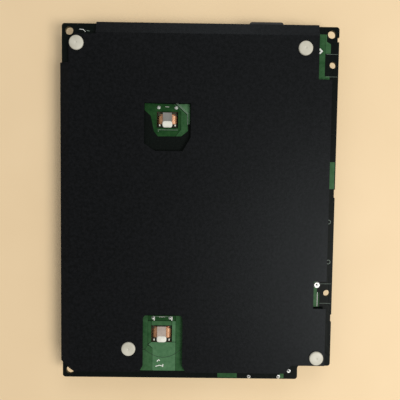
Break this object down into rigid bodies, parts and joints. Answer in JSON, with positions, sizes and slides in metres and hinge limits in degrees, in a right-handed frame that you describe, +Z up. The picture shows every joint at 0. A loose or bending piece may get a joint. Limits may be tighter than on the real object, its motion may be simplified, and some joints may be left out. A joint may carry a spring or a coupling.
{
  "type": "tv power supply board",
  "caption": "Flat rectangular power supply board: a folded black insulating sheet riveted over its solder side, sunken chokes in the sheet's openings, low parts underneath.",
  "frame": {"origin": "centre of the whole part's footprint, on the surface that its tallest parts rest on", "axes": "+Y along the board towards the mains inlet, +X across it towards the edge with the two small holes, +Z up through the solder side"},
  "size_m": [0.1546, 0.2028, 0.0162],
  "materials": {
    "aluminium": "extruded, brushed",
    "black_housing": "moulded nylon, matte",
    "blue_epoxy": "dipped epoxy, glossy",
    "bobbin_plastic": "moulded phenolic, matte",
    "can_sleeve": "shrunk sleeve, glossy",
    "ceramic_tube": "glazed ceramic",
    "circuit_board": "green solder mask over dark laminate, satin",
    "enamelled_copper": "enamelled wire, glossy",
    "ferrite": "sintered and ground, matte",
    "film_case": "moulded case, satin",
    "green_epoxy": "dipped epoxy, glossy",
    "iron_powder": "pressed powder, matte",
    "package_black": "moulded epoxy, fine matte",
    "plated_pin": "tin-plated",
    "rivet_plastic": "pale nylon, satin",
    "sheet_film": "black fine-grained film, matte",
    "solder": "bright solder",
    "spring_steel": "plated spring steel",
    "tinned_wire": "tinned copper wire",
    "transformer_tape": "polyester tape over wire, satin",
    "white_housing": "moulded nylon, satin"
  },
  "bodies": {
    "root": {"ac_inlet_housing": "black_housing", "ac_inlet_pins": "plated_pin", "boost_choke_bobbin": "bobbin_plastic", "boost_choke_core": "ferrite", "boost_choke_winding": "transformer_tape", "boost_diode": "package_black", "bridge_rectifier": "package_black", "bulk_capacitor_1": "can_sleeve", "bulk_capacitor_2": "can_sleeve", "bulk_capacitor_3": "can_sleeve", "bulk_capacitor_4": "can_sleeve", "circuit_board": "circuit_board", "control_chips": "package_black", "film_capacitors": "film_case", "fuse_caps": "plated_pin", "fuse_tube": "ceramic_tube", "heatsink_clips": "spring_steel", "inrush_thermistor": "green_epoxy", "insulating_sheet": "sheet_film", "jumper_wires": "tinned_wire", "led_connector_housing": "white_housing", "led_connector_pins": "plated_pin", "line_filter_bobbin_1": "bobbin_plastic", "line_filter_bobbin_2": "bobbin_plastic", "line_filter_core_1": "ferrite", "line_filter_core_2": "ferrite", "line_filter_windings_1": "enamelled_copper", "line_filter_windings_2": "enamelled_copper", "lower_choke_bobbin": "bobbin_plastic", "lower_choke_core": "ferrite", "lower_choke_winding": "enamelled_copper", "main_transformer_1_bobbin": "bobbin_plastic", "main_transformer_1_core": "ferrite", "main_transformer_1_winding": "transformer_tape", "main_transformer_2_bobbin": "bobbin_plastic", "main_transformer_2_core": "ferrite", "main_transformer_2_winding": "transformer_tape", "optocouplers": "white_housing", "output_capacitors": "can_sleeve", "output_chokes": "iron_powder", "output_connector_housing": "white_housing", "output_connector_pins": "plated_pin", "output_rectifiers": "package_black", "power_transistors": "package_black", "primary_heatsink": "aluminium", "rivet_spacers": "rivet_plastic", "secondary_heatsink": "aluminium", "sheet_rivets": "rivet_plastic", "solder_joints": "solder", "standby_transformer_bobbin": "bobbin_plastic", "standby_transformer_core": "ferrite", "standby_transformer_winding": "transformer_tape", "upper_choke_bobbin": "bobbin_plastic", "upper_choke_core": "ferrite", "upper_choke_winding": "enamelled_copper", "varistor": "blue_epoxy", "x_capacitor_1": "film_case", "x_capacitor_2": "film_case", "y_capacitors": "blue_epoxy"}
  },
  "joints": []
}
